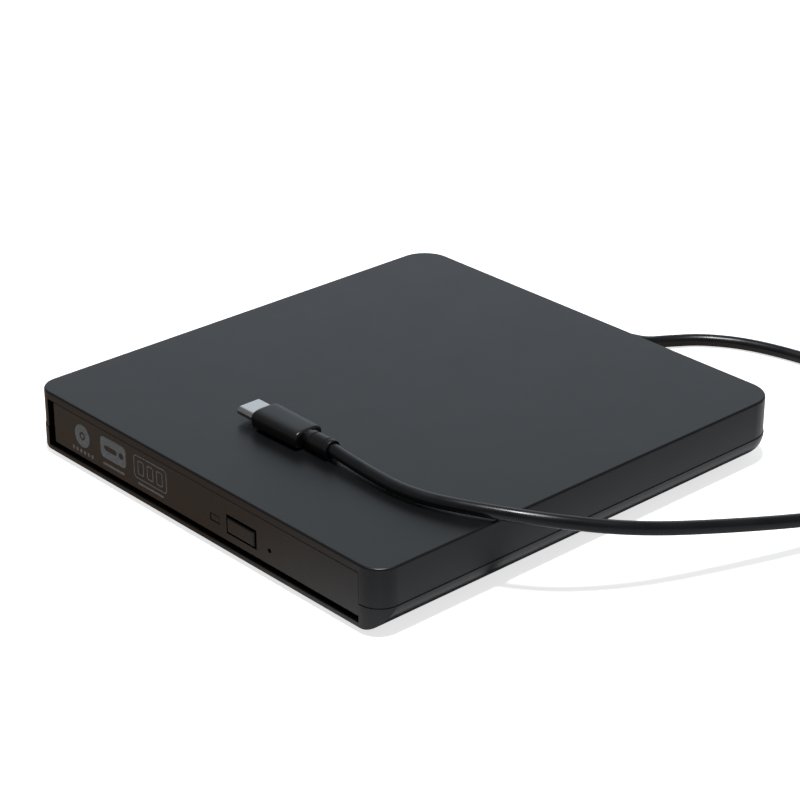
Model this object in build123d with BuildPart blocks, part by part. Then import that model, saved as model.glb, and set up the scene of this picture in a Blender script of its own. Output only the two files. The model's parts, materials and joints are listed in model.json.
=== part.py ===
"""A slim external optical drive: a two-shell case, the tray drive inside it, and its built-in USB cable.

Millimetres. +Z is up and the tray opens towards -Y.
The origin is on the ground under the middle of the case.
"""

from build123d import *
import os
from math import cos, pi, radians, sin, tan

os.makedirs("parts", exist_ok=True)

# ---------------------------------------------------------------- driving dimensions
# Case
case_width = 143.0
case_depth = 148.5
rim_proud = 0.2
front_corner = 6.5
back_corner = 9.0
foot_height = 1.5
seam_z = 7.9
seam_gap = 0.15
case_top = 19.0
wall = 1.8
floor_top = 2.7
roof_under = case_top - wall
cover_bottom = seam_z + seam_gap
front_y = -case_depth / 2
back_y = case_depth / 2
opening_left = -65.6
opening_right = 64.7
opening_top = 16.75
screw_x = 60.0
screw_y = 63.5
foot_x = 55.0
foot_y = 58.0
foot_radius = 5.0
foot_recess = 0.5
board_post_x = 31.0
board_post_y = (61.5, 67.2)
board_bottom = 6.0
cable_hole_r = 3.0
tongue = 1.2
edge_round = 0.6

# Drive: 128 mm wide and 12.7 mm high at its front, the standard slim size
drive_x = 0.3
bezel_width = 128.0
bezel_height = 12.7
bezel_bottom = 3.8
bezel_top = bezel_bottom + bezel_height
bezel_sunk = 0.4
bezel_face = front_y + bezel_sunk
bezel_depth = 4.0
bezel_skin = 2.0
bezel_back = front_y + bezel_depth
chassis_half = 63.5
sheet = 0.6
chassis_front = bezel_back + 0.35
chassis_back = 56.0
chassis_bottom = 3.9
chassis_floor = chassis_bottom + sheet
chassis_top = 15.75
lid_under = 15.8
lid_top = 16.3
lid_half = chassis_half + 0.4
tab_x = chassis_half - sheet - 1.3
tab_places = [(side * tab_x + drive_x, y) for side in (-1, 1) for y in (-52.0, 46.0)]
connector_x = (-21.0, 3.0)

# Disc tray and its runners
tray_front = bezel_back + 0.05
tray_back = 50.0
tray_half = 62.6
skirt_half = 60.4
skirt_inner = 58.0
skirt_bottom = 5.8
deck_under = 10.4
deck_top = 11.2
tray_top = 13.0
disc_recess_r = 60.6
scoop_r = 11.0
scoop_depth = 2.1
guide_top = 10.2
rail_low = 6.8
rail_high = 9.2
rail_play = 0.2

# Spindle and pickup; the pickup runs along a diagonal from the hub to the front left corner
hub_y = -8.2
hub_radius = 7.45
turntable_r = 13.5
turntable_low = 11.0
pad_low = 11.7
disc_seat = 11.9
hub_top = 14.2
motor_r = 10.5
unit_low = 5.9
plate_top = 6.5
rod_z = 8.45
rod_r = 1.2
rod_n = 13.5
rod_near = 11.6
rod_far = 65.4
sled_near = 15.5
sled_far = 29.5
lens_at = 22.0
lens_r = 2.2
screw_n = 18.0
lead_screw_r = 0.9
diagonal = Plane(origin=(drive_x, hub_y, 0), x_dir=(-1, -1, 0), z_dir=(0, 0, 1))
damper_places = [(-13.0, -14.0), (-13.0, 14.0), (22.0, -20.5)]
deck_hole_r = 16.5
deck_slot_n = 16.2
deck_slot_r = 50.0
neck_n = 7.0
neck_r = 60.0
cover_play = 0.2

# Button, lamp and pinhole in the bezel
button_x = 18.9
button_z = 9.1
button_width = 10.8
button_height = 4.2
button_gap = 0.7
lamp_x = 8.1
lamp_z = 8.65
lamp_half_x = 2.0
lamp_half_z = 1.1
lamp_gap = 0.1
pinhole_x = 30.1
pinhole_z = 8.2

# Latch
latch_x = 34.0
latch_y = -52.0
catch_x = 39.5
catch_y = -65.6

# Cable and plug
cable_d = 3.7
relief_end_y = 84.0
relief_end_r = 2.25
plug_y = -42.5
plug_z = case_top + 2.75
grip_from = -9.4
grip_to = 9.0
collar_to = 18.6
collar_r = 2.6
collar_neck_r = 2.3
collar_neck = 1.2
grip_width = 10.0
grip_height = 5.4
shell_from = -15.9
shell_width = 8.34
shell_height = 2.56
shell_sheet = 0.3
contact_width = 6.4
contact_inset = 1.2


# ---------------------------------------------------------------- helpers
def finish(part, name):
    """Labels a finished piece and writes it to its own file."""
    part.label = name
    export_step(part, f"parts/{name}.step")


def block(low, high, mode=Mode.ADD):
    """A box between two corners, inside the current part."""
    middle = tuple((a + b) / 2 for a, b in zip(low, high))
    with Locations(middle):
        Box(high[0] - low[0], high[1] - low[1], high[2] - low[2], mode=mode)


def post(x, y, low, high, radius, mode=Mode.ADD):
    """An upright cylinder from low to high, inside the current part."""
    with Locations((x, y, (low + high) / 2)):
        Cylinder(radius, high - low, mode=mode)


def bar_along_y(x, z, y_from, y_to, radius, mode=Mode.ADD):
    """A round bar along Y, inside the current part."""
    with Locations(Location((x, (y_from + y_to) / 2, z), (90, 0, 0))):
        Cylinder(radius, y_to - y_from, mode=mode)


def from_hub(r, n):
    """Where a point r along the pickup's diagonal and n across it lies in plan."""
    place = diagonal.from_local_coords(Vector(r, n, 0))
    return place.X, place.Y


def along_diagonal(r_from, n, z):
    """A plane across the pickup's diagonal, for round bars that run along it."""
    return Plane(origin=diagonal.from_local_coords(Vector(r_from, n, z)), z_dir=diagonal.x_dir)


def clip_plane(index, z):
    """A plane at the hub at height z, whose X axis points out along one of the three clips."""
    angle = radians(90 + 120 * index)
    return Plane(origin=(drive_x, hub_y, z), x_dir=(cos(angle), sin(angle), 0), z_dir=(0, 0, 1))


def side_span(side, inner, outer):
    """Low and high X of a strip that lies from inner to outer out from the drive's middle on one side."""
    low, high = sorted((drive_x + side * inner, drive_x + side * outer))
    return low, high


def deck_opening(shrink):
    """The opening in the tray's deck over the traverse unit: round at the hub, stepped in near the rim."""
    half = deck_slot_n - shrink
    half_neck = neck_n - shrink
    step = deck_slot_r - shrink
    end = neck_r - shrink
    with BuildSketch() as opening:
        with BuildLine():
            corners = [(5, -half), (step, -half), (step, -half_neck), (end, -half_neck), (end, 0), (5, 0)]
            Polyline(*corners, close=True)
        make_face()
        mirror(about=Plane.XZ)
        Circle(deck_hole_r - shrink)
    return opening.sketch


def case_outline(grow):
    """The case's plan outline, grown by grow; its back corners are rounder than its front ones."""
    with BuildSketch() as outline:
        Rectangle(case_width + 2 * grow, case_depth + 2 * grow)
        fillet(outline.vertices().group_by(Axis.Y)[0], front_corner + grow)
        fillet(outline.vertices().group_by(Axis.Y)[-1], back_corner + grow)
    return outline.sketch


def base_form(inset, bottom):
    """The base's form, moved in by inset.

    Its sides and back turn under in a quarter round; its front is upright.
    """
    grow = rim_proud - inset
    front_run = 20.0
    with BuildPart() as form:
        with BuildSketch(Plane.XY.offset(bottom)) as plan:
            with Locations((0, -front_run / 2)):
                Rectangle(case_width + 2 * grow, case_depth + 2 * grow + front_run)
            fillet(plan.vertices().group_by(Axis.Y)[-1], back_corner + grow)
        extrude(amount=seam_z - bottom)
        low_edges = form.edges().group_by(Axis.Z)[0].sort_by(Axis.Y)
        fillet(low_edges[1:], seam_z - bottom - 0.1)
        with BuildSketch(Plane.XY.offset(bottom)):
            add(case_outline(grow))
        extrude(amount=seam_z - bottom, mode=Mode.INTERSECT)
    return form.part


# ---------------------------------------------------------------- case
outer_base = base_form(0.0, foot_height)
inner_base = base_form(wall, floor_top)

with BuildPart() as base_shell:
    add(outer_base)
    add(inner_base, mode=Mode.SUBTRACT)
    # The tray's doorway through the front wall
    block((opening_left, front_y - 5, floor_top), (opening_right, front_y + 4, seam_z + 1), Mode.SUBTRACT)
    # Cross ribs that carry the drive
    for rib_y in (-56.0, -28.0, 0.0, 28.0, 50.0):
        block((-56, rib_y - 0.7, floor_top), (56, rib_y + 0.7, chassis_bottom))
    for side in (-1, 1):
        post(side * screw_x, screw_y, floor_top, seam_z - 0.1, 3.4)
        for post_y in board_post_y:
            post(side * board_post_x, post_y, floor_top, board_bottom, 1.9)
            post(side * board_post_x, post_y, board_bottom, board_bottom + 1.6, 0.8)
    # Screw holes with sunk seats for the heads
    for side in (-1, 1):
        post(side * screw_x, screw_y, foot_height, cover_bottom, 1.25, Mode.SUBTRACT)
        post(side * screw_x, screw_y, foot_height, foot_height + 1.9, 2.6, Mode.SUBTRACT)
        for foot_side in (-1, 1):
            foot_place = (side * foot_x, foot_side * foot_y)
            recess_top = foot_height + foot_recess
            post(*foot_place, foot_height, recess_top, foot_radius + 0.1, Mode.SUBTRACT)
    # Blank panel for a rating label
    block((-26, -18, foot_height), (26, 18, foot_height + 0.25), Mode.SUBTRACT)
    # The lower half of the cable's way out
    bar_along_y(0, seam_z, back_y - 6, back_y + 3, cable_hole_r, Mode.SUBTRACT)
finish(base_shell.part, "base_shell")

with BuildPart() as top_cover:
    with BuildSketch(Plane.XY.offset(cover_bottom)):
        add(case_outline(0))
    extrude(amount=case_top - cover_bottom)
    fillet(top_cover.edges().group_by(Axis.Z)[-1], edge_round)
    with BuildSketch(Plane.XY.offset(cover_bottom)):
        add(case_outline(-wall))
    extrude(amount=roof_under - cover_bottom, mode=Mode.SUBTRACT)
    # A tongue round the inside that drops into the base and closes the seam
    with BuildSketch(Plane.XY.offset(cover_bottom)):
        add(case_outline(-wall))
        add(case_outline(-wall - tongue), mode=Mode.SUBTRACT)
    extrude(amount=1.6)
    with BuildSketch(Plane.XY.offset(seam_z - 1.1)):
        add(case_outline(-wall - 0.25))
        add(case_outline(-wall - tongue), mode=Mode.SUBTRACT)
    extrude(amount=1.1 + seam_gap)
    # The upper part of the tray's doorway
    block((opening_left, front_y - 5, 0), (opening_right, front_y + 4, opening_top), Mode.SUBTRACT)
    for side in (-1, 1):
        post(side * screw_x, screw_y, seam_z, roof_under, 3.2)
        post(side * screw_x, screw_y, seam_z, 14.6, 0.95, Mode.SUBTRACT)
    bar_along_y(0, seam_z, back_y - 6, back_y + 3, cable_hole_r, Mode.SUBTRACT)
finish(top_cover.part, "top_cover")

with BuildPart() as case_screws:
    for side in (-1, 1):
        head_bottom = foot_height + 0.5
        head_top = foot_height + 1.85
        post(side * screw_x, screw_y, head_bottom, head_top, 2.4)
        post(side * screw_x, screw_y, head_top, 13.5, 0.9)
        post(side * screw_x, screw_y, head_bottom, head_bottom + 0.7, 0.7, Mode.SUBTRACT)
finish(case_screws.part, "case_screws")

with BuildPart() as rubber_feet:
    for side in (-1, 1):
        for foot_side in (-1, 1):
            post(side * foot_x, foot_side * foot_y, 0, foot_height + foot_recess, foot_radius)
    fillet(rubber_feet.edges().group_by(Axis.Z)[0], 0.4)
finish(rubber_feet.part, "rubber_feet")

with BuildPart() as foam_pads:
    for side in (-1, 1):
        for pad_y in (-50.0, 40.0):
            block((side * 42 - 8, pad_y - 8, lid_top), (side * 42 + 8, pad_y + 8, roof_under))
finish(foam_pads.part, "foam_pads")

# ---------------------------------------------------------------- bridge electronics behind the drive
board_top = board_bottom + 1
with BuildPart() as bridge_board:
    block((-35, 59, board_bottom), (35, 69.4, board_top))
    for side in (-1, 1):
        for post_y in board_post_y:
            post(side * board_post_x, post_y, board_bottom, board_top, 0.9, Mode.SUBTRACT)
finish(bridge_board.part, "bridge_board")

with BuildPart() as bridge_parts:
    # Bridge chip, its crystal, and a storage capacitor
    block((10, 61.5, board_top), (17, 68.5, board_top + 0.9))
    block((20, 62.0, board_top), (23.2, 67.0, board_top + 1.2))
    block((-26, 62.5, board_top), (-22, 67.5, board_top + 2.4))
    # A row of small passives
    for index in range(4):
        row_y = 61.6 + 1.9 * index
        block((6.0, row_y, board_top), (7.6, row_y + 0.8, board_top + 0.6))
    # Plug of the cable's wires
    block((-4, 65.6, board_top), (4, 69.2, board_top + 3.0))
finish(bridge_parts.part, "bridge_parts")

with BuildPart() as sata_socket:
    low_x, high_x = connector_x
    block((low_x, 57.3, board_top), (high_x, 61.2, board_top + 3.6))
    block((low_x + 1.4, 57.3, board_top + 1.2), (high_x - 1.4, 59.4, board_top + 2.4), Mode.SUBTRACT)
finish(sata_socket.part, "sata_socket")

# ---------------------------------------------------------------- drive chassis
left = drive_x - chassis_half
right = drive_x + chassis_half
with BuildPart() as drive_chassis:
    block((left, chassis_front, chassis_bottom), (right, chassis_back, chassis_top))
    inside_from = (left + sheet, chassis_front - 1, chassis_floor)
    block(inside_from, (right - sheet, chassis_back - sheet, chassis_top + 1), Mode.SUBTRACT)
    # Way through the back wall for the drive's connector
    low_x, high_x = connector_x
    block((low_x - 0.3, chassis_back - 1, 5.4), (high_x + 0.3, chassis_back + 1, 9.9), Mode.SUBTRACT)
    # Inward tabs that take the lid's screws
    for x, y in tab_places:
        block((x - 1.4, y - 2.5, chassis_top - 0.85), (x + 1.4, y + 2.5, chassis_top))
        post(x, y, chassis_top - 2, chassis_top + 1, 0.75, Mode.SUBTRACT)
    # Catch pin for the tray's latch, standing on the floor
    post(catch_x, catch_y, chassis_floor, 5.6, 1.0)
finish(drive_chassis.part, "drive_chassis")

with BuildPart() as drive_lid:
    block((drive_x - lid_half, chassis_front, 13.4), (drive_x + lid_half, chassis_back + 0.4, lid_top))
    inner_half = chassis_half + 0.05
    inside_from = (drive_x - inner_half, chassis_front - 1, 13)
    block(inside_from, (drive_x + inner_half, chassis_back + 0.05, lid_under), Mode.SUBTRACT)
    for x, y in tab_places:
        post(x, y, lid_under - 1, lid_top + 1, 0.75, Mode.SUBTRACT)
    # A pressed ring over the disc stiffens the sheet
    with BuildSketch(Plane.XY.offset(lid_top)):
        with Locations((drive_x, hub_y)):
            Circle(46)
            Circle(44, mode=Mode.SUBTRACT)
    extrude(amount=0.3)
finish(drive_lid.part, "drive_lid")

with BuildPart() as lid_screws:
    for x, y in tab_places:
        post(x, y, lid_top, lid_top + 0.4, 1.5)
        post(x, y, 13.8, lid_top, 0.7)
finish(lid_screws.part, "lid_screws")

for side, word in ((-1, "left"), (1, "right")):
    low_x, high_x = side_span(side, skirt_half + rail_play, chassis_half - sheet - 0.05)
    groove_low, groove_high = side_span(side, skirt_half, 62.0)
    with BuildPart() as guide:
        block((low_x, -68, 5.0), (high_x, 54, guide_top))
        groove_from = (groove_low, -69, rail_low - rail_play)
        block(groove_from, (groove_high, 52, rail_high + rail_play), Mode.SUBTRACT)
    finish(guide.part, f"guide_{word}")

    low_x, high_x = side_span(side, skirt_half - 1.2, 61.8)
    with BuildPart() as rail:
        block((low_x, -62, rail_low), (high_x, 50, rail_high))
    finish(rail.part, f"rail_{word}")

with BuildPart() as drive_board:
    block((-55, 28, chassis_floor + 0.15), (57, 53.2, 5.3))
    block((-42, 27.9, chassis_floor), (-30, 31, 5.3), Mode.SUBTRACT)
finish(drive_board.part, "drive_board")

with BuildPart() as drive_connector:
    low_x, high_x = connector_x
    block((low_x, 53.3, 5.5), (high_x, 57.1, 9.8))
    block((low_x + 1.6, 55.6, 8.2), (high_x - 1.6, 57.3, 9.0), Mode.SUBTRACT)
finish(drive_connector.part, "drive_connector")

# ---------------------------------------------------------------- ejector that gives the tray its first push
ejector_x = -42.0
ejector_z = 8.0
with BuildPart() as ejector_housing:
    block((ejector_x - 3.5, 40, 5.7), (ejector_x + 3.5, 55.2, 9.9))
    bar_along_y(ejector_x, ejector_z, 39, 54.2, 1.08, Mode.SUBTRACT)
finish(ejector_housing.part, "ejector_housing")

with BuildPart() as ejector_plunger:
    bar_along_y(ejector_x, ejector_z, 36.2, 53.6, 1.0)
    bar_along_y(ejector_x, ejector_z, 36.2, 37.6, 1.7)
finish(ejector_plunger.part, "ejector_plunger")

# ---------------------------------------------------------------- disc tray
tray_low_x = drive_x - tray_half
tray_high_x = drive_x + tray_half

with BuildPart() as disc_tray:
    # Upper deck and rim
    block((tray_low_x, tray_front, deck_under), (tray_high_x, tray_back, tray_top))
    fillet(disc_tray.edges().filter_by(Axis.Z), 1.2)
    chamfer(disc_tray.edges().group_by(Axis.Z)[-1], 0.3)
    # Skirt below the deck, hollow inside
    block((drive_x - skirt_half, tray_front, skirt_bottom), (drive_x + skirt_half, tray_back, deck_under))
    hollow_low = (drive_x - skirt_inner, tray_front + 2, skirt_bottom - 1)
    block(hollow_low, (drive_x + skirt_inner, tray_back - 1.6, deck_under), Mode.SUBTRACT)
    # Runner grooves along both sides
    for side in (-1, 1):
        low_x, high_x = side_span(side, skirt_half - 1.4, skirt_half + 1)
        groove_from = (low_x, tray_front - 1, rail_low - rail_play)
        block(groove_from, (high_x, tray_back + 1, rail_high + rail_play), Mode.SUBTRACT)
    # Disc recess, open at the back
    post(drive_x, hub_y, deck_top, tray_top + 1, disc_recess_r, Mode.SUBTRACT)
    # Finger scoop at the front left edge of the disc, shallower than the deck
    with Locations((drive_x - 50, -56, tray_top + scoop_r - scoop_depth)):
        Sphere(scoop_r, mode=Mode.SUBTRACT)
    # Opening for the spindle and the pickup
    with BuildSketch(diagonal.offset(deck_under - 1)):
        add(deck_opening(0))
    extrude(amount=deck_top - deck_under + 1.5, mode=Mode.SUBTRACT)
    # Ribs under the deck: one for the ejector, the others stiffen the free corners
    block((ejector_x - 4, 34.2, skirt_bottom), (ejector_x + 4, 36, deck_under))
    for rib_x in (-20.0, 14.0, 34.0):
        block((rib_x - 0.6, 20, skirt_bottom + 1.2), (rib_x + 0.6, tray_back - 1.6, deck_under))
    block((drive_x - skirt_inner, 30.4, skirt_bottom + 1.2), (drive_x + skirt_inner, 31.6, deck_under))
    # The ejector stays behind when the tray leaves, through this notch
    notch_from = (ejector_x - 4, 36.1, skirt_bottom - 1)
    block(notch_from, (ejector_x + 4, tray_back + 1, deck_under - 0.2), Mode.SUBTRACT)
    # Bosses for the traverse unit
    for damper_r, damper_n in damper_places:
        boss_x, boss_y = from_hub(damper_r, damper_n)
        post(boss_x, boss_y, 7.3, deck_under + 0.1, 1.9)
        post(boss_x, boss_y, 7.0, 9.8, 0.62, Mode.SUBTRACT)
    # Ways through the front wall for the button's stem, the lamp and the pinhole
    stem_way_from = (button_x - 2.3, tray_front - 1, 7.5)
    block(stem_way_from, (button_x + 2.3, tray_front + 3, deck_under - 0.1), Mode.SUBTRACT)
    bar_along_y(pinhole_x, pinhole_z, tray_front - 1, tray_front + 3, 1.2, Mode.SUBTRACT)
    # Post for the latch
    post(latch_x, latch_y, 7.0, deck_under + 0.1, 1.0)
finish(disc_tray.part, "disc_tray")

with BuildPart() as deck_cover:
    with BuildSketch(diagonal.offset(deck_top - 0.35)):
        add(deck_opening(cover_play))
        Circle(turntable_r + 0.7, mode=Mode.SUBTRACT)
        with Locations(((18.5 + 58.8) / 2, 0)):
            Rectangle(58.8 - 18.5, 11.2, mode=Mode.SUBTRACT)
    extrude(amount=0.3)
finish(deck_cover.part, "deck_cover")

# ---------------------------------------------------------------- bezel, button and lamp
with BuildPart() as front_bezel:
    low_x = drive_x - bezel_width / 2
    high_x = drive_x + bezel_width / 2
    block((low_x, bezel_face, bezel_bottom), (high_x, bezel_back, bezel_top))
    fillet(front_bezel.edges().group_by(Axis.Y)[0], 0.5)
    # Hollow back, so that only a skin stands in front of the tray
    skin_back = bezel_face + bezel_skin
    hollow_from = (low_x + 4, skin_back, bezel_bottom + 1.6)
    block(hollow_from, (high_x - 4, bezel_back + 1, bezel_top - 1.6), Mode.SUBTRACT)
    hole_half_x = button_width / 2 + button_gap
    hole_half_z = button_height / 2 + button_gap
    hole_from = (button_x - hole_half_x, front_y - 1, button_z - hole_half_z)
    block(hole_from, (button_x + hole_half_x, skin_back + 1, button_z + hole_half_z), Mode.SUBTRACT)
    lamp_from = (lamp_x - lamp_half_x, front_y - 1, lamp_z - lamp_half_z)
    block(lamp_from, (lamp_x + lamp_half_x, skin_back + 1, lamp_z + lamp_half_z), Mode.SUBTRACT)
    bar_along_y(pinhole_x, pinhole_z, front_y - 1, skin_back + 1, 0.65, Mode.SUBTRACT)
finish(front_bezel.part, "front_bezel")

with BuildPart() as eject_button:
    button_from = (button_x - button_width / 2, front_y, button_z - button_height / 2)
    flange_y = bezel_face + bezel_skin + 0.1
    block(button_from, (button_x + button_width / 2, flange_y, button_z + button_height / 2))
    fillet(eject_button.edges().group_by(Axis.Y)[0], 0.4)
    # Flange behind the bezel's skin, and the stem that reaches the switch
    flange_back = flange_y + 0.7
    block((button_x - 7.2, flange_y, button_z - 3.2), (button_x + 7.2, flange_back, button_z + 3.2))
    block((button_x - 1.6, flange_back, 7.9), (button_x + 1.6, -68.3, 10.0))
finish(eject_button.part, "eject_button")

with BuildPart() as lamp_lens:
    half_x = lamp_half_x - lamp_gap
    half_z = lamp_half_z - lamp_gap
    lens_from = (lamp_x - half_x, bezel_face + 0.05, lamp_z - half_z)
    block(lens_from, (lamp_x + half_x, front_y + 3.2, lamp_z + half_z))
    fillet(lamp_lens.edges().group_by(Axis.Y)[0], 0.3)
finish(lamp_lens.part, "lamp_lens")

with BuildPart() as tray_board:
    block((-2, -67.6, 6.2), (26, -56, 7.0))
finish(tray_board.part, "tray_board")

with BuildPart() as eject_switch:
    block((button_x - 2.4, -66.9, 7.0), (button_x + 2.4, -63.6, 10.1))
    bar_along_y(button_x, 8.9, -67.4, -66.9, 0.9)
finish(eject_switch.part, "eject_switch")

with BuildPart() as latch_solenoid:
    block((42, -62, 6.2), (54, -48, 10.1))
    block((43.5, -60.5, 6.9), (52.5, -49.5, 9.4), Mode.SUBTRACT)
    bar_along_y(48, 8.15, -60.5, -49.5, 1.2)
finish(latch_solenoid.part, "latch_solenoid")

with BuildPart() as latch_lever:
    post(latch_x, latch_y, 7.4, 9.0, 2.4)
    block((latch_x - 1.3, -63.6, 7.4), (latch_x + 1.3, latch_y, 9.0))
    block((latch_x - 1.3, -63.6, 5.1), (latch_x + 1.6, -61.6, 9.0))
    block((latch_x - 5.2, latch_y - 1, 7.4), (latch_x, latch_y + 1, 9.0))
    post(latch_x, latch_y, 7.0, 10, 1.06, Mode.SUBTRACT)
finish(latch_lever.part, "latch_lever")

# ---------------------------------------------------------------- traverse unit
with BuildPart() as traverse_frame:
    with BuildSketch(diagonal.offset(unit_low)):
        with BuildLine():
            Polyline((-17, -18), (48, -17), (65.6, -15), (65.6, 15), (60.6, 19.6), (-17, 19.6), close=True)
        make_face()
        with Locations(damper_places[2]):
            Circle(4.2)
        with Locations(((13 + 64) / 2, 0)):
            Rectangle(64 - 13, 23.2, mode=Mode.SUBTRACT)
        Circle(motor_r + 0.2, mode=Mode.SUBTRACT)
        with Locations(*damper_places):
            Circle(2.0, mode=Mode.SUBTRACT)
    extrude(amount=plate_top - unit_low)
    # Blocks that hold the two rods, and the bracket at the end of the lead screw
    for side in (-1, 1):
        for block_r, thick in ((12.3, 1.6), (64.8, 1.6)):
            with BuildSketch(diagonal.offset(plate_top)):
                with Locations((block_r, side * rod_n)):
                    Rectangle(thick, 3.0)
            extrude(amount=10.2 - plate_top)
    with BuildSketch(diagonal.offset(plate_top)):
        with Locations((60.0, screw_n)):
            Rectangle(1.2, 3.2)
    extrude(amount=10.2 - plate_top)
    for side in (-1, 1):
        with BuildSketch(along_diagonal(10, side * rod_n, rod_z)):
            Circle(rod_r + 0.02)
        extrude(amount=57, mode=Mode.SUBTRACT)
    with BuildSketch(along_diagonal(55, screw_n, rod_z)):
        Circle(lead_screw_r + 0.08)
    extrude(amount=8, mode=Mode.SUBTRACT)
finish(traverse_frame.part, "traverse_frame")

with BuildPart() as guide_rods:
    for side in (-1, 1):
        with BuildSketch(along_diagonal(rod_near, side * rod_n, rod_z)):
            Circle(rod_r)
        extrude(amount=rod_far - rod_near)
finish(guide_rods.part, "guide_rods")

with BuildPart() as dampers:
    for damper_r, damper_n in damper_places:
        ring_x, ring_y = from_hub(damper_r, damper_n)
        post(ring_x, ring_y, plate_top, 7.25, 3.0)
        post(ring_x, ring_y, 6.35, plate_top, 1.95)
        post(ring_x, ring_y, 6.0, 7.5, 0.7, Mode.SUBTRACT)
finish(dampers.part, "dampers")

with BuildPart() as traverse_screws:
    for damper_r, damper_n in damper_places:
        ring_x, ring_y = from_hub(damper_r, damper_n)
        post(ring_x, ring_y, 5.85, 6.3, 1.8)
        post(ring_x, ring_y, 6.3, 9.5, 0.58)
finish(traverse_screws.part, "traverse_screws")

with BuildPart() as spindle_motor:
    post(drive_x, hub_y, unit_low, 9.0, motor_r)
    post(drive_x, hub_y, 9.0, 10.7, 8.0)
    post(drive_x, hub_y, 6.6, 10.8, 1.06, Mode.SUBTRACT)
finish(spindle_motor.part, "spindle_motor")

with BuildPart() as sled_motor:
    with BuildSketch(along_diagonal(-8, screw_n, rod_z)):
        Circle(1.8)
    extrude(amount=11)
finish(sled_motor.part, "sled_motor")

with BuildPart() as lead_screw:
    with BuildSketch(along_diagonal(3.1, screw_n, rod_z)):
        Circle(lead_screw_r)
    extrude(amount=60.5 - 3.1)
finish(lead_screw.part, "lead_screw")

sled_mid = (sled_near + sled_far) / 2
sled_length = sled_far - sled_near
with BuildPart() as pickup_sled:
    # Body between the rods, bushes round them, and the arm round the lead screw
    with BuildSketch(diagonal.offset(unit_low)):
        with Locations((sled_mid, 0)):
            Rectangle(sled_length, 22.6)
    extrude(amount=10.1 - unit_low)
    with BuildSketch(diagonal.offset(6.7)):
        with Locations((sled_mid, 0)):
            Rectangle(sled_length, 2 * rod_n + 3.6)
    extrude(amount=10.2 - 6.7)
    with BuildSketch(diagonal.offset(7.0)):
        with Locations((sled_mid, screw_n - 1.0)):
            Rectangle(4.0, 5.2)
    extrude(amount=10.0 - 7.0)
    for side in (-1, 1):
        with BuildSketch(along_diagonal(sled_near - 1, side * rod_n, rod_z)):
            Circle(rod_r + 0.06)
        extrude(amount=sled_length + 2, mode=Mode.SUBTRACT)
    with BuildSketch(along_diagonal(sled_mid - 3, screw_n, rod_z)):
        Circle(lead_screw_r + 0.08)
    extrude(amount=6, mode=Mode.SUBTRACT)
    # Well for the lens
    lens_x, lens_y = from_hub(lens_at, 0)
    post(lens_x, lens_y, 9.0, 10.3, lens_r + 0.5, Mode.SUBTRACT)
finish(pickup_sled.part, "pickup_sled")

with BuildPart() as objective_lens:
    post(lens_x, lens_y, 9.5, 11.1, lens_r)
    with Locations((lens_x, lens_y, 9.6)):
        Sphere(2.1)
    post(lens_x, lens_y, 6, 9.5, 4, Mode.SUBTRACT)
    fillet(objective_lens.edges().group_by(Axis.Z)[0], 0.1)
finish(objective_lens.part, "objective_lens")

# ---------------------------------------------------------------- spindle hub with its three disc clips
clip_low = 12.6
clip_high = 13.6
clip_inner = 5.0
clip_outer = hub_radius + 0.35
clip_half = 1.2
slot_inner = clip_inner - 0.9
slot_outer = hub_radius + 1.5
with BuildPart() as spindle_hub:
    post(drive_x, hub_y, turntable_low, pad_low, turntable_r)
    post(drive_x, hub_y, pad_low, hub_top, hub_radius)
    fillet(spindle_hub.edges().group_by(Axis.Z)[-1], 0.6)
    post(drive_x, hub_y, 7.0, turntable_low, 1.0)
    for index in range(3):
        with BuildSketch(clip_plane(index, clip_low - 0.1)):
            with Locations(((slot_inner + slot_outer) / 2, 0)):
                Rectangle(slot_outer - slot_inner, 2 * clip_half + 0.2)
        extrude(amount=clip_high - clip_low + 0.2, mode=Mode.SUBTRACT)
finish(spindle_hub.part, "spindle_hub")

for index in range(3):
    with BuildPart() as clip:
        with BuildSketch(clip_plane(index, clip_low)):
            with Locations(((clip_inner + clip_outer) / 2, 0)):
                Rectangle(clip_outer - clip_inner, 2 * clip_half)
        extrude(amount=clip_high - clip_low)
        fillet(clip.edges().filter_by(Axis.Z), 0.3)
    finish(clip.part, f"disc_clip_{index + 1}")

with BuildPart() as turntable_pad:
    with BuildSketch(Plane.XY.offset(pad_low)):
        with Locations((drive_x, hub_y)):
            Circle(turntable_r - 0.5)
            Circle(turntable_r - 4, mode=Mode.SUBTRACT)
    extrude(amount=disc_seat - pad_low)
finish(turntable_pad.part, "turntable_pad")

# ---------------------------------------------------------------- flat ribbon from the board to the tray
ribbon_from = -26.0
ribbon_to = -10.0
ribbon_fold_y = -15.5
ribbon_thick = 0.15
ribbon_low_z = 4.645
ribbon_high_z = 5.5
with BuildPart() as tray_ribbon:
    with BuildSketch(Plane.YZ.offset(ribbon_from)):
        with BuildLine():
            lower = Line((27.5, ribbon_low_z), (ribbon_fold_y, ribbon_low_z))
            bend = JernArc(lower @ 1, (-1, 0), (ribbon_high_z - ribbon_low_z) / 2, -180)
            Line(bend @ 1, (48.0, ribbon_high_z))
        trace(line_width=ribbon_thick)
    extrude(amount=ribbon_to - ribbon_from)
finish(tray_ribbon.part, "tray_ribbon")

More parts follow.
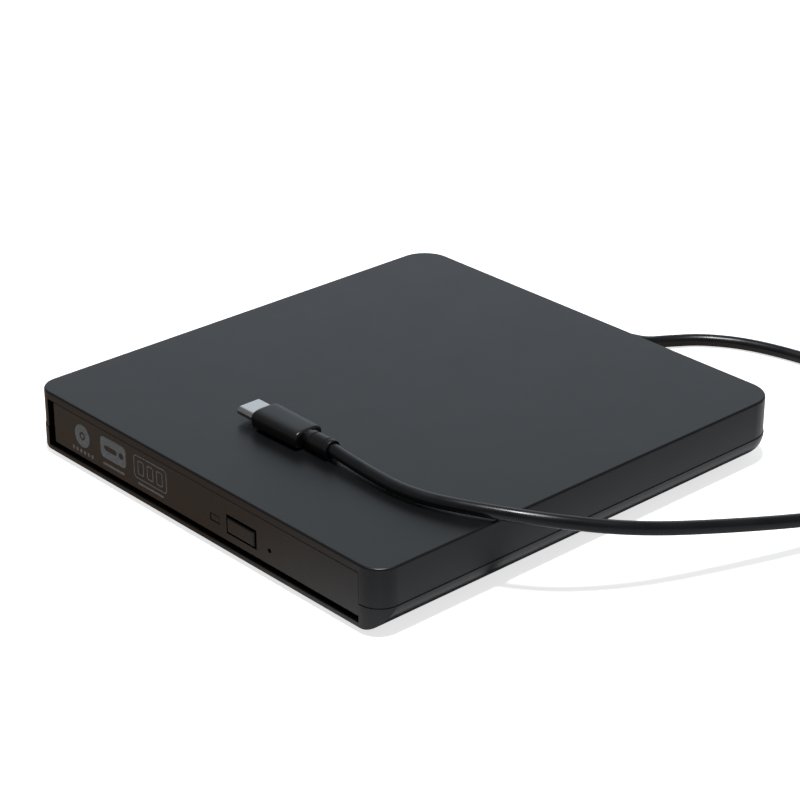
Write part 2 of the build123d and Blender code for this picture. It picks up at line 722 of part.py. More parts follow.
# ---------------------------------------------------------------- cable, its strain relief and its plug
with BuildPart() as strain_relief:
    # Round body through the back wall, a flange inside it, and the taper outside
    neck_from = back_y - wall - 1.4
    taper_from = back_y + 0.4
    bar_along_y(0, seam_z, neck_from - 1.2, neck_from, cable_hole_r + 0.9)
    bar_along_y(0, seam_z, neck_from, taper_from, cable_hole_r - 0.05)
    with BuildSketch(Plane.XZ.offset(-taper_from)):
        with Locations((0, seam_z)):
            Circle(cable_hole_r - 0.1)
    with BuildSketch(Plane.XZ.offset(-relief_end_y)):
        with Locations((0, seam_z)):
            Circle(relief_end_r)
    loft()
finish(strain_relief.part, "strain_relief")

# The route's points, from the strain relief to the plug's collar
ground_z = cable_d / 2 + 0.05
cable_route = [
    (0.0, relief_end_y, seam_z),
    (-0.2, 91.0, 6.5),
    (0.2, 98.5, 2.9),
    (2.4, 106.2, ground_z),
    (9.2, 115.8, ground_z),
    (22.6, 124.0, ground_z),
    (46.0, 128.8, ground_z),
    (79.0, 128.5, ground_z),
    (104.2, 116.0, ground_z),
    (117.8, 94.0, ground_z),
    (117.6, 67.6, 3.8),
    (113.0, 42.6, 8.2),
    (104.8, 17.2, 12.1),
    (95.0, -8.6, 16.6),
    (82.2, -26.8, 20.65),
    (67.0, -36.9, 21.4),
    (51.8, -43.0, 21.0),
    (36.0, -43.8, 21.1),
    (collar_to, plug_y, plug_z),
]


def route_radii(points):
    """An arc radius for each corner: 0.45 of the shorter run over the tangent of half the turn."""
    radii = []
    for before, here, after in zip(points, points[1:], points[2:]):
        run_in = Vector(*here) - Vector(*before)
        run_out = Vector(*after) - Vector(*here)
        half_turn = radians(run_in.get_angle(run_out)) / 2
        radii.append(0.45 * min(run_in.length, run_out.length) / tan(half_turn))
    return radii


cable_radii = route_radii(cable_route)
print("cable radii", [round(radius, 1) for radius in cable_radii])
with BuildPart() as usb_cable:
    with BuildLine() as cable_path:
        FilletPolyline(*cable_route, radius=cable_radii)
    with BuildSketch(Plane(origin=cable_path.line @ 0, z_dir=cable_path.line % 0)):
        Circle(cable_d / 2)
    sweep()
cable_length = sum(edge.length for edge in cable_path.edges())
volume_ratio = usb_cable.part.volume / (cable_length * pi * cable_d**2 / 4)
print("cable length", round(cable_length, 1), "volume ratio", round(volume_ratio, 4))
finish(usb_cable.part, "usb_cable")

with BuildPart() as plug_collar:
    # A round sleeve with a narrower neck where it joins the grip
    with BuildSketch(Plane.YZ.offset(grip_to)):
        with Locations((plug_y, plug_z)):
            Circle(collar_neck_r)
    extrude(amount=collar_neck)
    with BuildSketch(Plane.YZ.offset(grip_to + collar_neck)):
        with Locations((plug_y, plug_z)):
            Circle(collar_r)
    extrude(amount=collar_to - grip_to - collar_neck)
    fillet(plug_collar.edges().group_by(Axis.X)[-1], 0.4)
finish(plug_collar.part, "plug_collar")

with BuildPart() as plug_grip:
    with BuildSketch(Plane.YZ.offset(grip_from)):
        with Locations((plug_y, plug_z)):
            RectangleRounded(grip_width, grip_height, 2.2)
    extrude(amount=grip_to - grip_from)
    fillet(plug_grip.edges().group_by(Axis.X)[0], 0.6)
    fillet(plug_grip.edges().group_by(Axis.X)[-1], 0.6)
finish(plug_grip.part, "plug_grip")

with BuildPart() as plug_shell:
    # A hollow tube of flat oval section, open at the end
    with BuildSketch(Plane.YZ.offset(shell_from)):
        with Locations((plug_y, plug_z)):
            corner = shell_height / 2 - 0.02
            bore_width = shell_width - 2 * shell_sheet
            bore_height = shell_height - 2 * shell_sheet
            RectangleRounded(shell_width, shell_height, corner)
            RectangleRounded(bore_width, bore_height, corner - shell_sheet, mode=Mode.SUBTRACT)
    extrude(amount=grip_from - shell_from)
finish(plug_shell.part, "plug_shell")

with BuildPart() as plug_contacts:
    # Two rows of contacts on a block at the back of the shell
    with BuildSketch(Plane.YZ.offset(shell_from + contact_inset)):
        with Locations((plug_y, plug_z + 0.8), (plug_y, plug_z - 0.8)):
            Rectangle(contact_width, 0.3)
    extrude(amount=grip_from - shell_from - contact_inset)
    with BuildSketch(Plane.YZ.offset(grip_from - contact_inset)):
        with Locations((plug_y, plug_z)):
            Rectangle(contact_width, 1.7)
    extrude(amount=contact_inset)
finish(plug_contacts.part, "plug_contacts")
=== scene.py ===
"""The looks of a slim external optical drive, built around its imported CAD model.

Metres, in the CAD model's frame: +Z up, the tray opens towards -Y. Names ending in _mm are millimetres.
"""

import json
from math import cos, floor, pi, radians, sin

import bmesh
import bpy
from mathutils import Matrix, Vector


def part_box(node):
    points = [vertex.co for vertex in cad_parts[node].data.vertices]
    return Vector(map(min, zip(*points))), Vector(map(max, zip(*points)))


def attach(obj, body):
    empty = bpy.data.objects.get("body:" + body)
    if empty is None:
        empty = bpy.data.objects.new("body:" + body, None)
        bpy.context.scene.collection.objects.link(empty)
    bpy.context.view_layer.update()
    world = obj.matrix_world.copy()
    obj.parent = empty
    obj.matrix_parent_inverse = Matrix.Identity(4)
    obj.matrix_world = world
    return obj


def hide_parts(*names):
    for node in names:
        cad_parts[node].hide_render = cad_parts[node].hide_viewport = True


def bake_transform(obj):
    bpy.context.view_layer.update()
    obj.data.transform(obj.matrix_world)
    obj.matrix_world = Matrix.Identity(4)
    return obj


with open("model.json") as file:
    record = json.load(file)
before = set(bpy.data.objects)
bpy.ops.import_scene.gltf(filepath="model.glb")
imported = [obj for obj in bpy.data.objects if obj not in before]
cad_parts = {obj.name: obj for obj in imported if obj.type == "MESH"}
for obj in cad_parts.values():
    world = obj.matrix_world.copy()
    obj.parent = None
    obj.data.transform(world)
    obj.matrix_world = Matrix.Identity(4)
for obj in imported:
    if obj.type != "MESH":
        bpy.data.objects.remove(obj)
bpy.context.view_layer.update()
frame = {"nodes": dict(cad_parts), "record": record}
nodes = frame["nodes"]
mm = 0.001

cover_low, cover_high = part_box("top_cover")
pickup_travel = Vector((-1, -1, 0)).normalized()


# ---------------------------------------------------------------- camera and light
def make_camera():
    """The photograph's view: azimuth and elevation from the case's edges, lens from their convergence."""
    azimuth = radians(47.73)
    elevation = radians(25.86)
    place = Vector((0.4504, -0.4114, 0.2923 + cover_high.z))
    back = Vector((sin(azimuth) * cos(elevation), -cos(azimuth) * cos(elevation), sin(elevation)))
    right = Vector((cos(azimuth), sin(azimuth), 0))
    up = back.cross(right)
    turn = Matrix((right, up, back)).transposed().to_4x4()
    camera = bpy.data.objects.new("camera", bpy.data.cameras.new("camera"))
    camera.data.sensor_width = 36.0
    camera.data.lens = 109.98
    camera.data.clip_start = 0.01
    camera.data.clip_end = 20.0
    camera.matrix_world = Matrix.Translation(place) @ turn
    bpy.context.scene.collection.objects.link(camera)
    bpy.context.scene.camera = camera


def make_key_lamp():
    """A small square lamp high over the drive: the soft shadow under the cable and plug comes from it."""
    place = Vector((0.10, -0.09, 1.2))
    target = Vector((0, 0, 0))
    side = 0.15
    lamp = bpy.data.objects.new("key", bpy.data.lights.new("key", "AREA"))
    lamp.data.shape = "RECTANGLE"
    lamp.data.size = side
    lamp.data.size_y = side
    lamp.data.energy = 12.0
    lamp.location = place
    lamp.rotation_euler = (target - place).to_track_quat("-Z", "Y").to_euler()
    bpy.context.scene.collection.objects.link(lamp)


def make_world():
    """White to look at. What the drive mirrors is a dim room with a pale backdrop behind it."""
    towards_backdrop = (-0.74, 0.667, 0.09)
    room_colour = (0.13, 0.13, 0.135, 1)
    backdrop_colour = (0.66, 0.74, 0.81, 1)
    backdrop_edge = 0.62
    backdrop_middle = 0.985
    world = bpy.data.worlds.new("studio")
    bpy.context.scene.world = world
    world.use_nodes = True
    tree = world.node_tree
    place = tree.nodes.new("ShaderNodeTexCoord")
    facing = tree.nodes.new("ShaderNodeVectorMath")
    facing.operation = "DOT_PRODUCT"
    facing.inputs[1].default_value = towards_backdrop
    tree.links.new(place.outputs["Generated"], facing.inputs[0])
    ramp = tree.nodes.new("ShaderNodeValToRGB")
    ramp.color_ramp.elements[0].position = backdrop_edge
    ramp.color_ramp.elements[0].color = room_colour
    ramp.color_ramp.elements[1].position = backdrop_middle
    ramp.color_ramp.elements[1].color = backdrop_colour
    tree.links.new(facing.outputs["Value"], ramp.inputs["Fac"])
    seen = tree.nodes.new("ShaderNodeLightPath").outputs["Is Camera Ray"]
    shown = tree.nodes.new("ShaderNodeMix")
    shown.data_type = "RGBA"
    shown.inputs[7].default_value = (1, 1, 1, 1)
    tree.links.new(seen, shown.inputs["Factor"])
    tree.links.new(ramp.outputs["Color"], shown.inputs[6])
    tree.links.new(shown.outputs[2], tree.nodes["Background"].inputs["Color"])


make_camera()
make_world()
make_key_lamp()
bpy.context.scene.view_settings.view_transform = "Standard"


# ---------------------------------------------------------------- node helpers
class Shader:
    """One material's node tree, with short ways to add what the materials below share."""

    def __init__(self, name):
        self.material = bpy.data.materials.new(name)
        self.material.use_nodes = True
        self.tree = self.material.node_tree
        self.surface = self.tree.nodes["Principled BSDF"]
        self.place = self.tree.nodes.new("ShaderNodeTexCoord").outputs["Object"]

    def set(self, **values):
        """Puts constants straight on the surface shader's own sockets."""
        for key, value in values.items():
            self.surface.inputs[key.replace("_", " ")].default_value = value

    def feed(self, socket, value):
        """Gives an input its value, which is another node's socket or a constant."""
        if isinstance(value, bpy.types.NodeSocket):
            self.tree.links.new(value, socket)
        else:
            socket.default_value = value

    def node(self, kind, **inputs):
        """A new node of this kind, with its named inputs fed."""
        made = self.tree.nodes.new(kind)
        for key, value in inputs.items():
            self.feed(made.inputs[key.replace("_", " ")], value)
        return made

    def stretched(self, scale):
        """The position, scaled differently along each axis."""
        return self.node("ShaderNodeMapping", Vector=self.place, Scale=scale).outputs[0]

    def noise(self, cell_mm, detail=2.0, place=None):
        """Noise with cells of about this size."""
        scale = 1 / (cell_mm * mm)
        made = self.node("ShaderNodeTexNoise", Vector=place or self.place, Scale=scale, Detail=detail)
        return made.outputs["Fac"]

    def ramp(self, value, start, end, low=0.0, high=1.0):
        """A number that goes from low to high as value goes from start to end."""
        limits = {"From_Min": start, "From_Max": end, "To_Min": low, "To_Max": high}
        return self.node("ShaderNodeMapRange", Value=value, **limits).outputs["Result"]

    def between(self, noise, low, high):
        """A number from low to high, over the middle of a noise's own range."""
        return self.ramp(noise, 0.3, 0.7, low, high)

    def math(self, operation, first, second):
        """The result of one sum on two numbers or sockets."""
        made = self.tree.nodes.new("ShaderNodeMath")
        made.operation = operation
        self.feed(made.inputs[0], first)
        self.feed(made.inputs[1], second)
        return made.outputs[0]

    def mix(self, amount, first, second):
        """A colour between two colours or colour sockets."""
        made = self.tree.nodes.new("ShaderNodeMix")
        made.data_type = "RGBA"
        self.feed(made.inputs["Factor"], amount)
        for socket, colour in ((made.inputs[6], first), (made.inputs[7], second)):
            self.feed(socket, colour if isinstance(colour, bpy.types.NodeSocket) else (*colour, 1))
        return made.outputs[2]

    def join(self, socket, name):
        """Links a socket into the surface shader."""
        self.tree.links.new(socket, self.surface.inputs[name])

    def bump(self, height, depth_mm, strength):
        """Relief of this depth."""
        made = self.node("ShaderNodeBump", Height=height, Distance=depth_mm * mm, Strength=strength)
        return made.outputs["Normal"]


def shade(colour, factor):
    """The colour made darker or lighter."""
    return tuple(min(1.0, channel * factor) for channel in colour)


# ---------------------------------------------------------------- kinds of material
def plastic(name, colour, roughness, cell_mm=0.35, depth_mm=0.02, strength=0.35, variation=0.07):
    """Moulded plastic: a fine grain, faint blotches of colour, and gloss that varies a little."""
    speck_size = 1.7
    speck_lift = 1.9
    gloss_change = 0.015
    s = Shader(name)
    blotch = s.noise(14.0, detail=4.0)
    speck = s.noise(cell_mm * speck_size, detail=1.0)
    base = s.mix(s.between(blotch, 0, 1), shade(colour, 1 - variation), shade(colour, 1 + variation))
    dusty = s.mix(s.between(speck, 0, 0.16), base, shade(colour, speck_lift))
    s.join(dusty, "Base Color")
    s.join(s.between(blotch, roughness - gloss_change, roughness + gloss_change), "Roughness")
    s.join(s.bump(s.noise(cell_mm), depth_mm, strength), "Normal")
    return s.material


def metal(name, colour, roughness, brush=(1, 1, 1), cell_mm=0.5, depth_mm=0.004, variation=0.1, metallic=1.0):
    """Metal with grain drawn out along the axis whose brush value is small."""
    s = Shader(name)
    grain = s.noise(cell_mm, detail=3.0, place=s.stretched(brush))
    blotch = s.noise(18.0, detail=3.0)
    base = s.mix(s.between(grain, 0, 1), shade(colour, 1 - variation), shade(colour, 1 + variation))
    s.join(base, "Base Color")
    s.join(s.between(blotch, roughness * 0.8, roughness * 1.25), "Roughness")
    s.join(s.bump(grain, depth_mm, 0.5), "Normal")
    s.set(Metallic=metallic)
    return s.material


def rubber(name, colour):
    """Dull rubber with a soft grain."""
    s = Shader(name)
    grain = s.noise(0.5, detail=4.0)
    s.join(s.mix(s.between(grain, 0, 1), shade(colour, 0.7), shade(colour, 1.4)), "Base Color")
    s.join(s.between(s.noise(6.0), 0.74, 0.86), "Roughness")
    s.join(s.bump(grain, 0.05, 0.5), "Normal")
    s.set(Specular_IOR_Level=0.3)
    return s.material


def board(name, colour):
    """Solder mask over copper: the traces stand out a little, paler than the mask between them."""
    trace_spacing_mm = 2.2
    s = Shader(name)
    cells = s.node("ShaderNodeTexVoronoi", Vector=s.place, Scale=1 / (trace_spacing_mm * mm))
    cells.distance = "MANHATTAN"
    cells.feature = "DISTANCE_TO_EDGE"
    trace = s.ramp(cells.outputs["Distance"], 0.05, 0.09)
    mask = s.mix(trace, shade(colour, 1.7), colour)
    s.join(s.mix(s.between(s.noise(1.2), 0, 0.2), mask, shade(colour, 0.6)), "Base Color")
    s.join(s.between(s.noise(3.0), 0.25, 0.4), "Roughness")
    s.join(s.bump(trace, 0.03, 0.4), "Normal")
    s.set(Coat_Weight=0.4)
    return s.material


def foam(name, colour):
    """Open foam: pale cell walls round cells darkened with painted shade in their hollows."""
    cell_mm = 0.5
    s = Shader(name)
    cells = s.node("ShaderNodeTexVoronoi", Vector=s.place, Scale=1 / (cell_mm * mm)).outputs["Distance"]
    # painted shade: each cell darker towards its sunken middle
    s.join(s.mix(s.between(cells, 0, 1), shade(colour, 0.5), shade(colour, 1.5)), "Base Color")
    s.join(s.bump(cells, 0.2, 0.8), "Normal")
    s.set(Roughness=0.95)
    return s.material


def lens_glass(name):
    """Coated lens: deep blue-violet with paler patches."""
    s = Shader(name)
    s.join(s.mix(s.between(s.noise(1.5), 0, 1), (0.10, 0.13, 0.42), (0.28, 0.20, 0.55)), "Base Color")
    s.join(s.between(s.noise(0.8), 0.02, 0.06), "Roughness")
    s.set(Coat_Weight=1.0, Transmission_Weight=0.35, IOR=1.5)
    return s.material


def smoked(name, colour):
    """The lamp's window: smoked plastic, as dark as the bezel while the lamp is off."""
    s = Shader(name)
    haze = s.noise(1.0, detail=3.0)
    s.join(s.mix(s.between(haze, 0, 1), shade(colour, 0.8), shade(colour, 1.5)), "Base Color")
    s.join(s.between(s.noise(0.6), 0.24, 0.32), "Roughness")
    s.join(s.bump(s.noise(0.5), 0.006, 0.15), "Normal")
    return s.material


def ribbon_film(name):
    """Polyimide film with copper conductors side by side under it."""
    conductor_pitch_mm = 1.0
    radians_per_unit = 20  # how fast the wave texture's sine runs at scale 1
    s = Shader(name)
    wave_scale = 2 * pi / (radians_per_unit * conductor_pitch_mm * mm)
    bands = s.node("ShaderNodeTexWave", Vector=s.place, Scale=wave_scale)
    bands.bands_direction = "X"
    stripe = s.ramp(bands.outputs["Fac"], 0.42, 0.58)
    s.join(s.mix(stripe, (0.42, 0.24, 0.07), (0.62, 0.38, 0.16)), "Base Color")
    s.join(s.between(s.noise(2.0), 0.22, 0.35), "Roughness")
    s.join(s.bump(stripe, 0.02, 0.5), "Normal")
    s.set(Coat_Weight=0.4)
    return s.material


def cable_sheath(name, colour):
    """Semi-gloss PVC with a faint orange peel and a few dull rubbed patches."""
    s = Shader(name)
    peel = s.noise(0.7)
    rubbed = s.noise(9.0, detail=4.0)
    s.join(s.mix(s.between(rubbed, 0, 1), shade(colour, 0.85), shade(colour, 1.3)), "Base Color")
    s.join(s.between(rubbed, 0.24, 0.36), "Roughness")
    s.join(s.bump(peel, 0.015, 0.4), "Normal")
    return s.material


def printed_ink(name):
    """Pale blue-grey pad-printed ink, thin enough in places to let the plastic through."""
    s = Shader(name)
    worn = s.noise(0.5, detail=4.0)
    s.join(s.mix(s.between(worn, 0, 1), (0.18, 0.235, 0.28), (0.32, 0.41, 0.48)), "Base Color")
    s.join(s.between(s.noise(1.0), 0.45, 0.6), "Roughness")
    s.join(s.bump(worn, 0.01, 0.4), "Normal")
    return s.material


def table_colour(s):
    """What the drive mirrors: a table, brown on the left, grey on the right, with a strip of painted light on
    it beside the case, which the case's lower sides show as a painted reflection.
    """
    brown = s.mix(s.between(s.noise(30.0, detail=4.0), 0, 1), (0.34, 0.27, 0.22), (0.40, 0.32, 0.27))
    grey = (0.44, 0.45, 0.47)
    brown_by_case = (0.36, 0.27, 0.215)
    # painted light: the table's pale strip along the case's right side and front
    painted_light_colour = (0.80, 0.81, 0.83)
    grey_from = 0.07
    strip_start = 0.006
    strip_end = 0.022
    split = s.tree.nodes.new("ShaderNodeSeparateXYZ")
    s.feed(split.inputs[0], s.place)
    x = split.outputs["X"]
    y = split.outputs["Y"]
    rightward = s.ramp(x, 0.0, grey_from)
    # how far past the case's right side or front; the painted light fades out from strip_start to strip_end
    past_side = s.math("SUBTRACT", x, cover_high.x)
    past_front = s.math("SUBTRACT", cover_low.y, y)
    away = s.ramp(s.math("MAXIMUM", past_side, past_front), strip_start, strip_end)
    painted_light_strip = s.mix(rightward, brown_by_case, painted_light_colour)
    return s.mix(away, painted_light_strip, s.mix(rightward, brown, grey))


def floor_paper(name):
    """White paper to look at. The sides mirror a dim table instead, as they seem to in the photograph."""
    s = Shader(name)
    fibre = s.noise(3.0, detail=4.0)
    s.join(s.mix(s.between(fibre, 0, 1), (0.86, 0.86, 0.86), (0.88, 0.88, 0.88)), "Base Color")
    s.join(s.between(s.noise(8.0), 0.85, 0.95), "Roughness")
    s.set(Specular_IOR_Level=0.1, Emission_Color=(1, 1, 1, 1), Emission_Strength=0.72)
    table = s.node("ShaderNodeBsdfDiffuse", Color=table_colour(s))
    seen = s.tree.nodes.new("ShaderNodeLightPath").outputs["Is Camera Ray"]
    choose = s.tree.nodes.new("ShaderNodeMixShader")
    s.feed(choose.inputs["Fac"], seen)
    s.feed(choose.inputs[1], table.outputs[0])
    s.feed(choose.inputs[2], s.surface.outputs[0])
    s.feed(s.tree.nodes["Material Output"].inputs["Surface"], choose.outputs[0])
    return s.material


# ---------------------------------------------------------------- materials, one for each slot of the record
cover_colour = (0.0038, 0.0042, 0.0048)
base_colour = (0.0046, 0.0048, 0.0054)
bezel_colour = (0.0050, 0.0045, 0.0042)
cable_colour = (0.0060, 0.0066, 0.0080)
plug_colour = (0.0070, 0.0070, 0.0075)
bright_colour = (0.72, 0.72, 0.73)
sheet_brush = (1, 0.04, 1)
runner_brush = (1, 0.05, 1)
shell_brush = (0.06, 1, 1)
materials = {
    "cover_plastic": plastic("cover_plastic", cover_colour, 0.35, strength=0.2),
    "base_plastic": plastic("base_plastic", base_colour, 0.29, strength=0.2),
    "bezel_plastic": plastic("bezel_plastic", bezel_colour, 0.27, cell_mm=0.5, depth_mm=0.008, strength=0.15),
    "tray_plastic": plastic("tray_plastic", (0.016, 0.016, 0.017), 0.42, cell_mm=0.3, depth_mm=0.015),
    "foot_rubber": rubber("foot_rubber", (0.018, 0.018, 0.019)),
    "foam": foam("foam", (0.06, 0.06, 0.065)),
    "screw_steel": metal("screw_steel", (0.13, 0.13, 0.14), 0.35, metallic=0.9),
    "sheet_steel": metal("sheet_steel", (0.62, 0.63, 0.64), 0.34, sheet_brush, cell_mm=0.4),
    "bright_steel": metal("bright_steel", bright_colour, 0.16, runner_brush, cell_mm=0.3, depth_mm=0.002),
    "guide_acetal": plastic("guide_acetal", (0.62, 0.60, 0.55), 0.38, variation=0.05),
    "board_green": board("board_green", (0.012, 0.10, 0.045)),
    "chip_black": plastic("chip_black", (0.017, 0.017, 0.018), 0.55, cell_mm=0.2),
    "connector_black": plastic("connector_black", (0.02, 0.02, 0.021), 0.4, cell_mm=0.2),
    "cast_alloy": metal("cast_alloy", (0.50, 0.50, 0.51), 0.45, cell_mm=0.6, depth_mm=0.03, variation=0.15),
    "ribbon_film": ribbon_film("ribbon_film"),
    "cable_pvc": cable_sheath("cable_pvc", cable_colour),
    "plug_plastic": plastic("plug_plastic", plug_colour, 0.31, cell_mm=0.25, depth_mm=0.01),
    "plug_steel": metal("plug_steel", (0.78, 0.77, 0.75), 0.17, shell_brush, cell_mm=0.2, depth_mm=0.002),
    "contact_gold": metal("contact_gold", (0.83, 0.60, 0.25), 0.22, cell_mm=0.2, depth_mm=0.002),
    "lens_glass": lens_glass("lens_glass"),
    "lamp_clear": smoked("lamp_clear", bezel_colour),
    "motor_steel": metal("motor_steel", (0.40, 0.40, 0.41), 0.30, cell_mm=0.4, depth_mm=0.006),
    "damper_rubber": rubber("damper_rubber", (0.03, 0.03, 0.033)),
}
ink = printed_ink("printed_ink")

for part in frame["record"]["subparts"]:
    mesh = nodes[part["node"]].data
    mesh.materials.clear()
    mesh.materials.append(materials[part["material_slot"]])


# ---------------------------------------------------------------- mesh helpers
def keep(name, mesh, body, slot, material=None, smooth=True):
    """Makes a piece of the object from a mesh: it rides on a body and takes a slot's material."""
    obj = bpy.data.objects.new(name, mesh)
    bpy.context.scene.collection.objects.link(obj)
    mesh.materials.clear()
    mesh.materials.append(material or materials[slot])
    for polygon in mesh.polygons:
        polygon.use_smooth = smooth
    if body:
        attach(obj, body)
    return obj


def skin(name, rings):
    """A closed mesh through rings of points, each ring with the same number of points."""
    mesh = bpy.data.meshes.new(name)
    built = bmesh.new()
    rows = [[built.verts.new(point) for point in ring] for ring in rings]
    count = len(rows[0])
    for row, following in zip(rows, rows[1:]):
        for i in range(count):
            j = (i + 1) % count
            built.faces.new((row[i], row[j], following[j], following[i]))
    built.faces.new(rows[0][::-1])
    built.faces.new(rows[-1])
    bmesh.ops.recalc_face_normals(built, faces=built.faces)
    built.to_mesh(mesh)
    built.free()
    return mesh


def lathe(name, profile_mm, origin, axis, across):
    """A turned mesh: profile_mm is (distance along axis, radius) pairs in millimetres from origin."""
    segments = 40
    side = axis.cross(across)
    rings = []
    for along, radius in profile_mm:
        middle = origin + axis * (along * mm)
        ring = []
        for i in range(segments):
            angle = 2 * pi * i / segments
            ring.append(middle + (across * cos(angle) + side * sin(angle)) * (radius * mm))
        rings.append(ring)
    return skin(name, rings)


def sharpen(obj):
    """Keeps edges crisp where two faces meet at more than the sharp angle."""
    sharp = radians(35)
    mesh = obj.data
    built = bmesh.new()
    built.from_mesh(mesh)
    for edge in built.edges:
        if len(edge.link_faces) == 2:
            edge.smooth = edge.calc_face_angle(0) < sharp
    built.to_mesh(mesh)
    built.free()


def outline_circle(x, y, radius):
    """A circle's outline about (x, y)."""
    count = 40
    angles = [2 * pi * i / count for i in range(count)]
    return [(x + radius * cos(angle), y + radius * sin(angle)) for angle in angles]


def outline_round(x, y, width, height, corner):
    """A rounded rectangle's outline about (x, y)."""
    steps = 6
    points = []
    for quarter, (sign_x, sign_y) in enumerate(((1, 1), (-1, 1), (-1, -1), (1, -1))):
        middle_x = x + sign_x * (width / 2 - corner)
        middle_y = y + sign_y * (height / 2 - corner)
        for i in range(steps + 1):
            angle = pi / 2 * (quarter + i / steps)
            points.append((middle_x + corner * cos(angle), middle_y + corner * sin(angle)))
    return points


# ---------------------------------------------------------------- cable and its strain relief
cable_radius_mm = 1.85
ground_z_mm = 1.9  # the middle of the cable where it lies on the ground
cable_route_mm = [
    (0.0, 84.0, 7.9),
    (-0.2, 91.0, 6.5),
    (0.2, 98.5, 2.9),
    (2.4, 106.2, ground_z_mm),
    (9.2, 115.8, ground_z_mm),
    (22.6, 124.0, ground_z_mm),
    (46.0, 128.8, ground_z_mm),
    (79.0, 128.5, ground_z_mm),
    (104.2, 116.0, ground_z_mm),
    (117.8, 94.0, ground_z_mm),
    (117.6, 67.6, 3.8),
    (113.0, 42.6, 8.2),
    (104.8, 17.2, 12.1),
    (95.0, -8.6, 16.6),
    (82.2, -26.8, 20.65),
    (67.0, -36.9, 21.4),
    (51.8, -43.0, 21.0),
    (36.0, -43.8, 21.1),
    (18.6, -42.5, 21.75),
]


def make_cable():
    """The cable along its route: the points steer a smooth curve and lie a little outside its bends."""
    curve = bpy.data.curves.new("usb_lead", "CURVE")
    curve.dimensions = "3D"
    curve.bevel_depth = cable_radius_mm * mm
    curve.bevel_resolution = 7
    curve.resolution_u = 14
    curve.use_fill_caps = True
    spline = curve.splines.new("NURBS")
    spline.points.add(len(cable_route_mm) - 1)
    for point, place in zip(spline.points, cable_route_mm):
        point.co = (*(Vector(place) * mm), 1)
    spline.order_u = 3
    spline.use_endpoint_u = True
    curve.materials.append(materials["cable_pvc"])
    cable = bpy.data.objects.new("usb_lead", curve)
    bpy.context.scene.collection.objects.link(cable)
    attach(cable, "case")
    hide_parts("usb_cable")
    return cable


def make_strain_relief():
    """A turned sleeve: flange inside the wall, plain neck through it, grooves along the taper outside."""
    low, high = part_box("strain_relief")
    length = (high.y - low.y) / mm
    flange = (high.x - low.x) / 2 / mm
    flange_thick = 1.2
    outside = 9.35
    neck = flange - 0.95
    neck_end = length - outside
    taper = 0.65
    slope = 0.04
    tip = 2.1
    profile = [(0, flange - 0.6), (0.15, flange), (flange_thick - 0.15, flange), (flange_thick, flange - 0.2)]
    profile += [(flange_thick, neck), (neck_end, neck)]
    grooves = 5
    margin = 0.6
    groove_mm = ((0, 0), (0.1, 0.28), (0.5, 0.3), (0.62, 0))  # distance along the sleeve, depth
    step = (outside - 2 * margin) / grooves
    for i in range(grooves):
        from_neck = margin + i * step
        outer = neck - taper * from_neck / outside
        for along, depth in groove_mm:
            profile.append((neck_end + from_neck + along, outer - depth - slope * along))
    profile += [(length - 0.2, tip + 0.14), (length, tip)]
    centre = Vector((0, low.y, (low.z + high.z) / 2))
    mesh = lathe("relief_sleeve", profile, centre, Vector((0, 1, 0)), Vector((1, 0, 0)))
    relief = keep("relief_sleeve", mesh, "case", "cable_pvc")
    sharpen(relief)
    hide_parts("strain_relief")
    return relief


def make_plug_collar():
    """The round sleeve behind the grip, with a waist next to the grip and two shallow rings cut into it."""
    low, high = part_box("plug_collar")
    length = (high.x - low.x) / mm
    radius = (high.z - low.z) / 2 / mm
    waist = radius - 0.35
    waist_length = 1.0
    shoulder_end = 1.4
    ring = radius - 0.15
    ring_flank = 0.1
    ring_width = 0.6
    mouth = 2.1
    mouth_depth = 1.2
    profile = [(0, waist), (waist_length, waist), (1.2, radius - 0.1), (shoulder_end, radius)]
    for start in (2.6, length - 2.2):
        end = start + ring_width
        profile += [(start, radius), (start + ring_flank, ring), (end - ring_flank, ring), (end, radius)]
    profile += [(length - 0.3, radius), (length - 0.1, radius - 0.08), (length, radius - 0.25)]
    profile += [(length, mouth), (length - mouth_depth, mouth - 0.05)]
    centre = Vector((low.x, (low.y + high.y) / 2, (low.z + high.z) / 2))
    mesh = lathe("collar_sleeve", profile, centre, Vector((1, 0, 0)), Vector((0, 1, 0)))
    collar = keep("collar_sleeve", mesh, "case", "plug_plastic")
    sharpen(collar)
    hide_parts("plug_collar")
    return collar


def make_plug_grip():
    """The moulded grip: a flat rounded bar, a little slimmer towards the cable, with softly rounded ends."""
    low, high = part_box("plug_grip")
    centre = (low + high) / 2
    half_width = (high.y - low.y) / 2
    half_height = (high.z - low.z) / 2
    length = high.x - low.x
    rim = 0.75 * mm
    slimming = 0.07
    width_power = 0.55  # a power under 1 squares the section up
    height_power = 0.62
    stations = 30
    count = 56

    def squared(value, power):
        """The value raised to a power, keeping its sign."""
        return abs(value) ** power * (1 if value > 0 else -1)

    rings = []
    for k in range(stations + 1):
        along = (1 - cos(pi * k / stations)) / 2
        from_end = min(along, 1 - along) * length
        rounding = rim - (max(0.0, rim**2 - max(0.0, rim - from_end) ** 2)) ** 0.5
        taper = 1 - slimming * along
        ring = []
        for i in range(count):
            angle = 2 * pi * i / count
            y = squared(cos(angle), width_power) * (half_width * taper - rounding)
            z = squared(sin(angle), height_power) * (half_height * taper - rounding)
            ring.append(Vector((low.x + along * length, centre.y + y, centre.z + z)))
        rings.append(ring)
    grip = keep("grip_moulding", skin("grip_moulding", rings), "case", "plug_plastic")
    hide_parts("plug_grip")
    return grip


cable = make_cable()
cord_pieces = [make_strain_relief(), make_plug_collar(), make_plug_grip()]
cord_pieces += [nodes["plug_shell"], nodes["plug_contacts"]]


